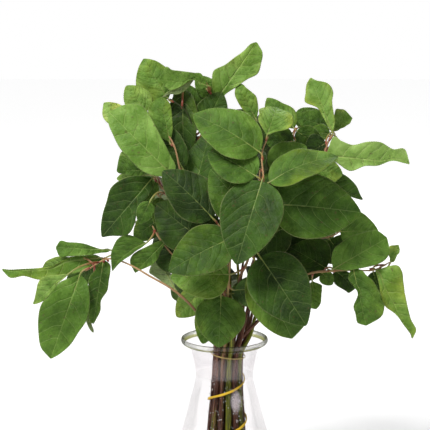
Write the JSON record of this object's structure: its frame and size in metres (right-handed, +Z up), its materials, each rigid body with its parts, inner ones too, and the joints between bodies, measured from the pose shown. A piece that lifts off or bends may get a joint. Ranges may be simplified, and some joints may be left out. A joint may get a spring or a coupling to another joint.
{
  "type": "bunch of salal stems in a glass vase",
  "caption": "Full bunch of leafy evergreen stems, tied with thin yellow bands and standing in a clear flared glass vase of water.",
  "frame": {"origin": "centre of the vase's flat base", "axes": "+Z up along the vase, +X to the right and +Y away for someone facing the front of the bunch"},
  "size_m": [0.4626, 0.308, 0.5552],
  "materials": {
    "clear_glass": "clear, glossy, thick blown glass",
    "clear_water": "clear still water with small bubbles",
    "yellow_band": "thin matt yellow elastic band",
    "leaf_green": "leathery satin leaves with pale veins, red-brown woody stems"
  },
  "bodies": {
    "root": {"vase": "clear_glass", "water": "clear_water", "tie_upper": "yellow_band", "tie_spiral": "yellow_band", "stem_centre": "leaf_green", "stem_left_dark": "leaf_green", "stem_right_low": "leaf_green", "stem_right_mid": "leaf_green", "stem_right_top": "leaf_green", "stem_top_mid": "leaf_green", "stem_right_inner": "leaf_green", "stem_left_bright": "leaf_green", "stem_left_top": "leaf_green", "stem_top": "leaf_green", "stem_left_mid": "leaf_green", "stem_left_low": "leaf_green", "stem_low": "leaf_green", "stem_left_spray": "leaf_green", "stem_back_1": "leaf_green", "stem_back_2": "leaf_green", "stem_back_3": "leaf_green", "stem_back_4": "leaf_green", "stem_back_5": "leaf_green", "stem_back_6": "leaf_green", "stem_back_7": "leaf_green"}
  },
  "joints": []
}
